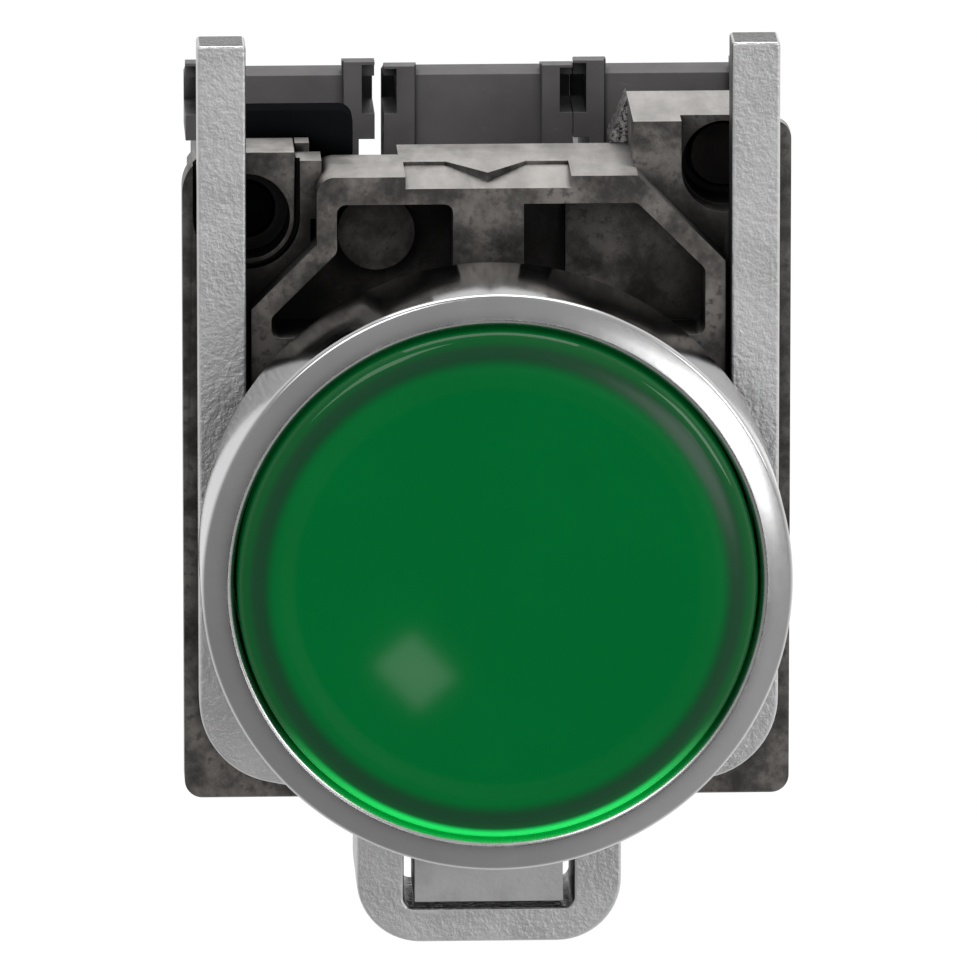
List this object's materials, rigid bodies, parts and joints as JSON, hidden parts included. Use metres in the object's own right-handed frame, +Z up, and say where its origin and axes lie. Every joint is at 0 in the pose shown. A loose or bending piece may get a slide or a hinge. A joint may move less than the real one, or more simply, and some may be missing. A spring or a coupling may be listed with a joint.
{
  "type": "illuminated push button",
  "caption": "Round illuminated push button with a chromed bezel and flush green lens, a cast collar with a clamp plate behind the panel, and screw-terminal blocks.",
  "frame": {"origin": "on the button's axis, at the back face of the gasket, where it seats on the panel", "axes": "the button presses along +Y and its front faces -Y, +Z is up and +X is to the right seen from the front"},
  "size_m": [0.0302, 0.0519, 0.0457],
  "materials": {
    "chrome_bezel": "bright chrome",
    "cast_metal": "as cast, mottled and stained",
    "cast_grey_metal": "fine textured casting",
    "green_lens": "clear moulded, glossy",
    "white_plastic": "translucent, satin",
    "black_plastic": "satin moulded",
    "grey_plastic": "satin moulded",
    "black_rubber": "matt",
    "plated_steel": "zinc plated",
    "contact_brass": "bright",
    "board_green": "lacquered",
    "clear_resin": "clear"
  },
  "bodies": {
    "base": {"bezel": "chrome_bezel", "head_body": "cast_metal", "panel_gasket": "black_rubber", "pusher_seal": "black_rubber", "return_spring": "plated_steel", "fixing_collar": "cast_metal", "lever_bush": "cast_metal", "lamp_housing": "grey_plastic", "lamp_cover": "black_plastic", "lamp_board": "board_green", "lamp_diode": "clear_resin", "lamp_upper_terminal": "contact_brass", "lamp_lower_terminal": "contact_brass", "lamp_terminal_screws": "plated_steel", "lamp_terminal_clamps": "plated_steel", "left_contact_housing": "grey_plastic", "left_contact_cover": "black_plastic", "left_contact_spring": "plated_steel", "left_upper_contact": "contact_brass", "left_lower_contact": "contact_brass", "left_terminal_screws": "plated_steel", "left_terminal_clamps": "plated_steel", "right_contact_housing": "grey_plastic", "right_contact_cover": "black_plastic", "right_contact_spring": "plated_steel", "right_upper_contact": "contact_brass", "right_lower_contact": "contact_brass", "right_terminal_screws": "plated_steel", "right_terminal_clamps": "plated_steel"},
    "button": {"lens_cap": "green_lens", "light_diffuser": "white_plastic", "pusher": "black_plastic", "retaining_ring": "plated_steel"},
    "left_plunger": {"left_contact_plunger": "white_plastic", "left_contact_bridge": "contact_brass"},
    "right_plunger": {"right_contact_plunger": "white_plastic", "right_contact_bridge": "contact_brass"},
    "yoke": {"clamp_yoke": "cast_grey_metal"},
    "screw": {"clamp_screw": "plated_steel"},
    "lever": {"locking_lever": "black_plastic"}
  },
  "joints": [
    {"name": "button_press", "type": "slide", "parent": "base", "child": "button", "axis": [0, 1, 0], "range_m": [0, 0.004], "stiffness_N_per_m": 700, "springref_m": -0.0035, "deforming": ["return_spring"]},
    {"name": "left_plunger_travel", "type": "slide", "parent": "base", "child": "left_plunger", "axis": [0, 1, 0], "range_m": [0, 0.004], "stiffness_N_per_m": 150, "springref_m": -0.004, "deforming": ["left_contact_spring"]},
    {"name": "right_plunger_travel", "type": "slide", "parent": "base", "child": "right_plunger", "axis": [0, 1, 0], "range_m": [0, 0.004], "stiffness_N_per_m": 150, "springref_m": -0.004, "deforming": ["right_contact_spring"]},
    {"name": "yoke_swing", "type": "hinge", "parent": "base", "child": "yoke", "pos_m": [0, 0.0049, -0.0165], "axis": [1, 0, 0], "range_deg": [0, 2.2]},
    {"name": "clamp_screw_advance", "type": "slide", "parent": "base", "child": "screw", "axis": [0, -1, 0], "range_m": [0, 0.00345]},
    {"name": "lever_turn", "type": "hinge", "parent": "base", "child": "lever", "pos_m": [-0.01192, 0.0095, 0.01563], "axis": [0, 1, 0], "range_deg": [0, 22]}
  ],
  "couplings": [
    {"joint": "left_plunger_travel", "follows": "button_press", "ratio": 1},
    {"joint": "right_plunger_travel", "follows": "button_press", "ratio": 1}
  ]
}
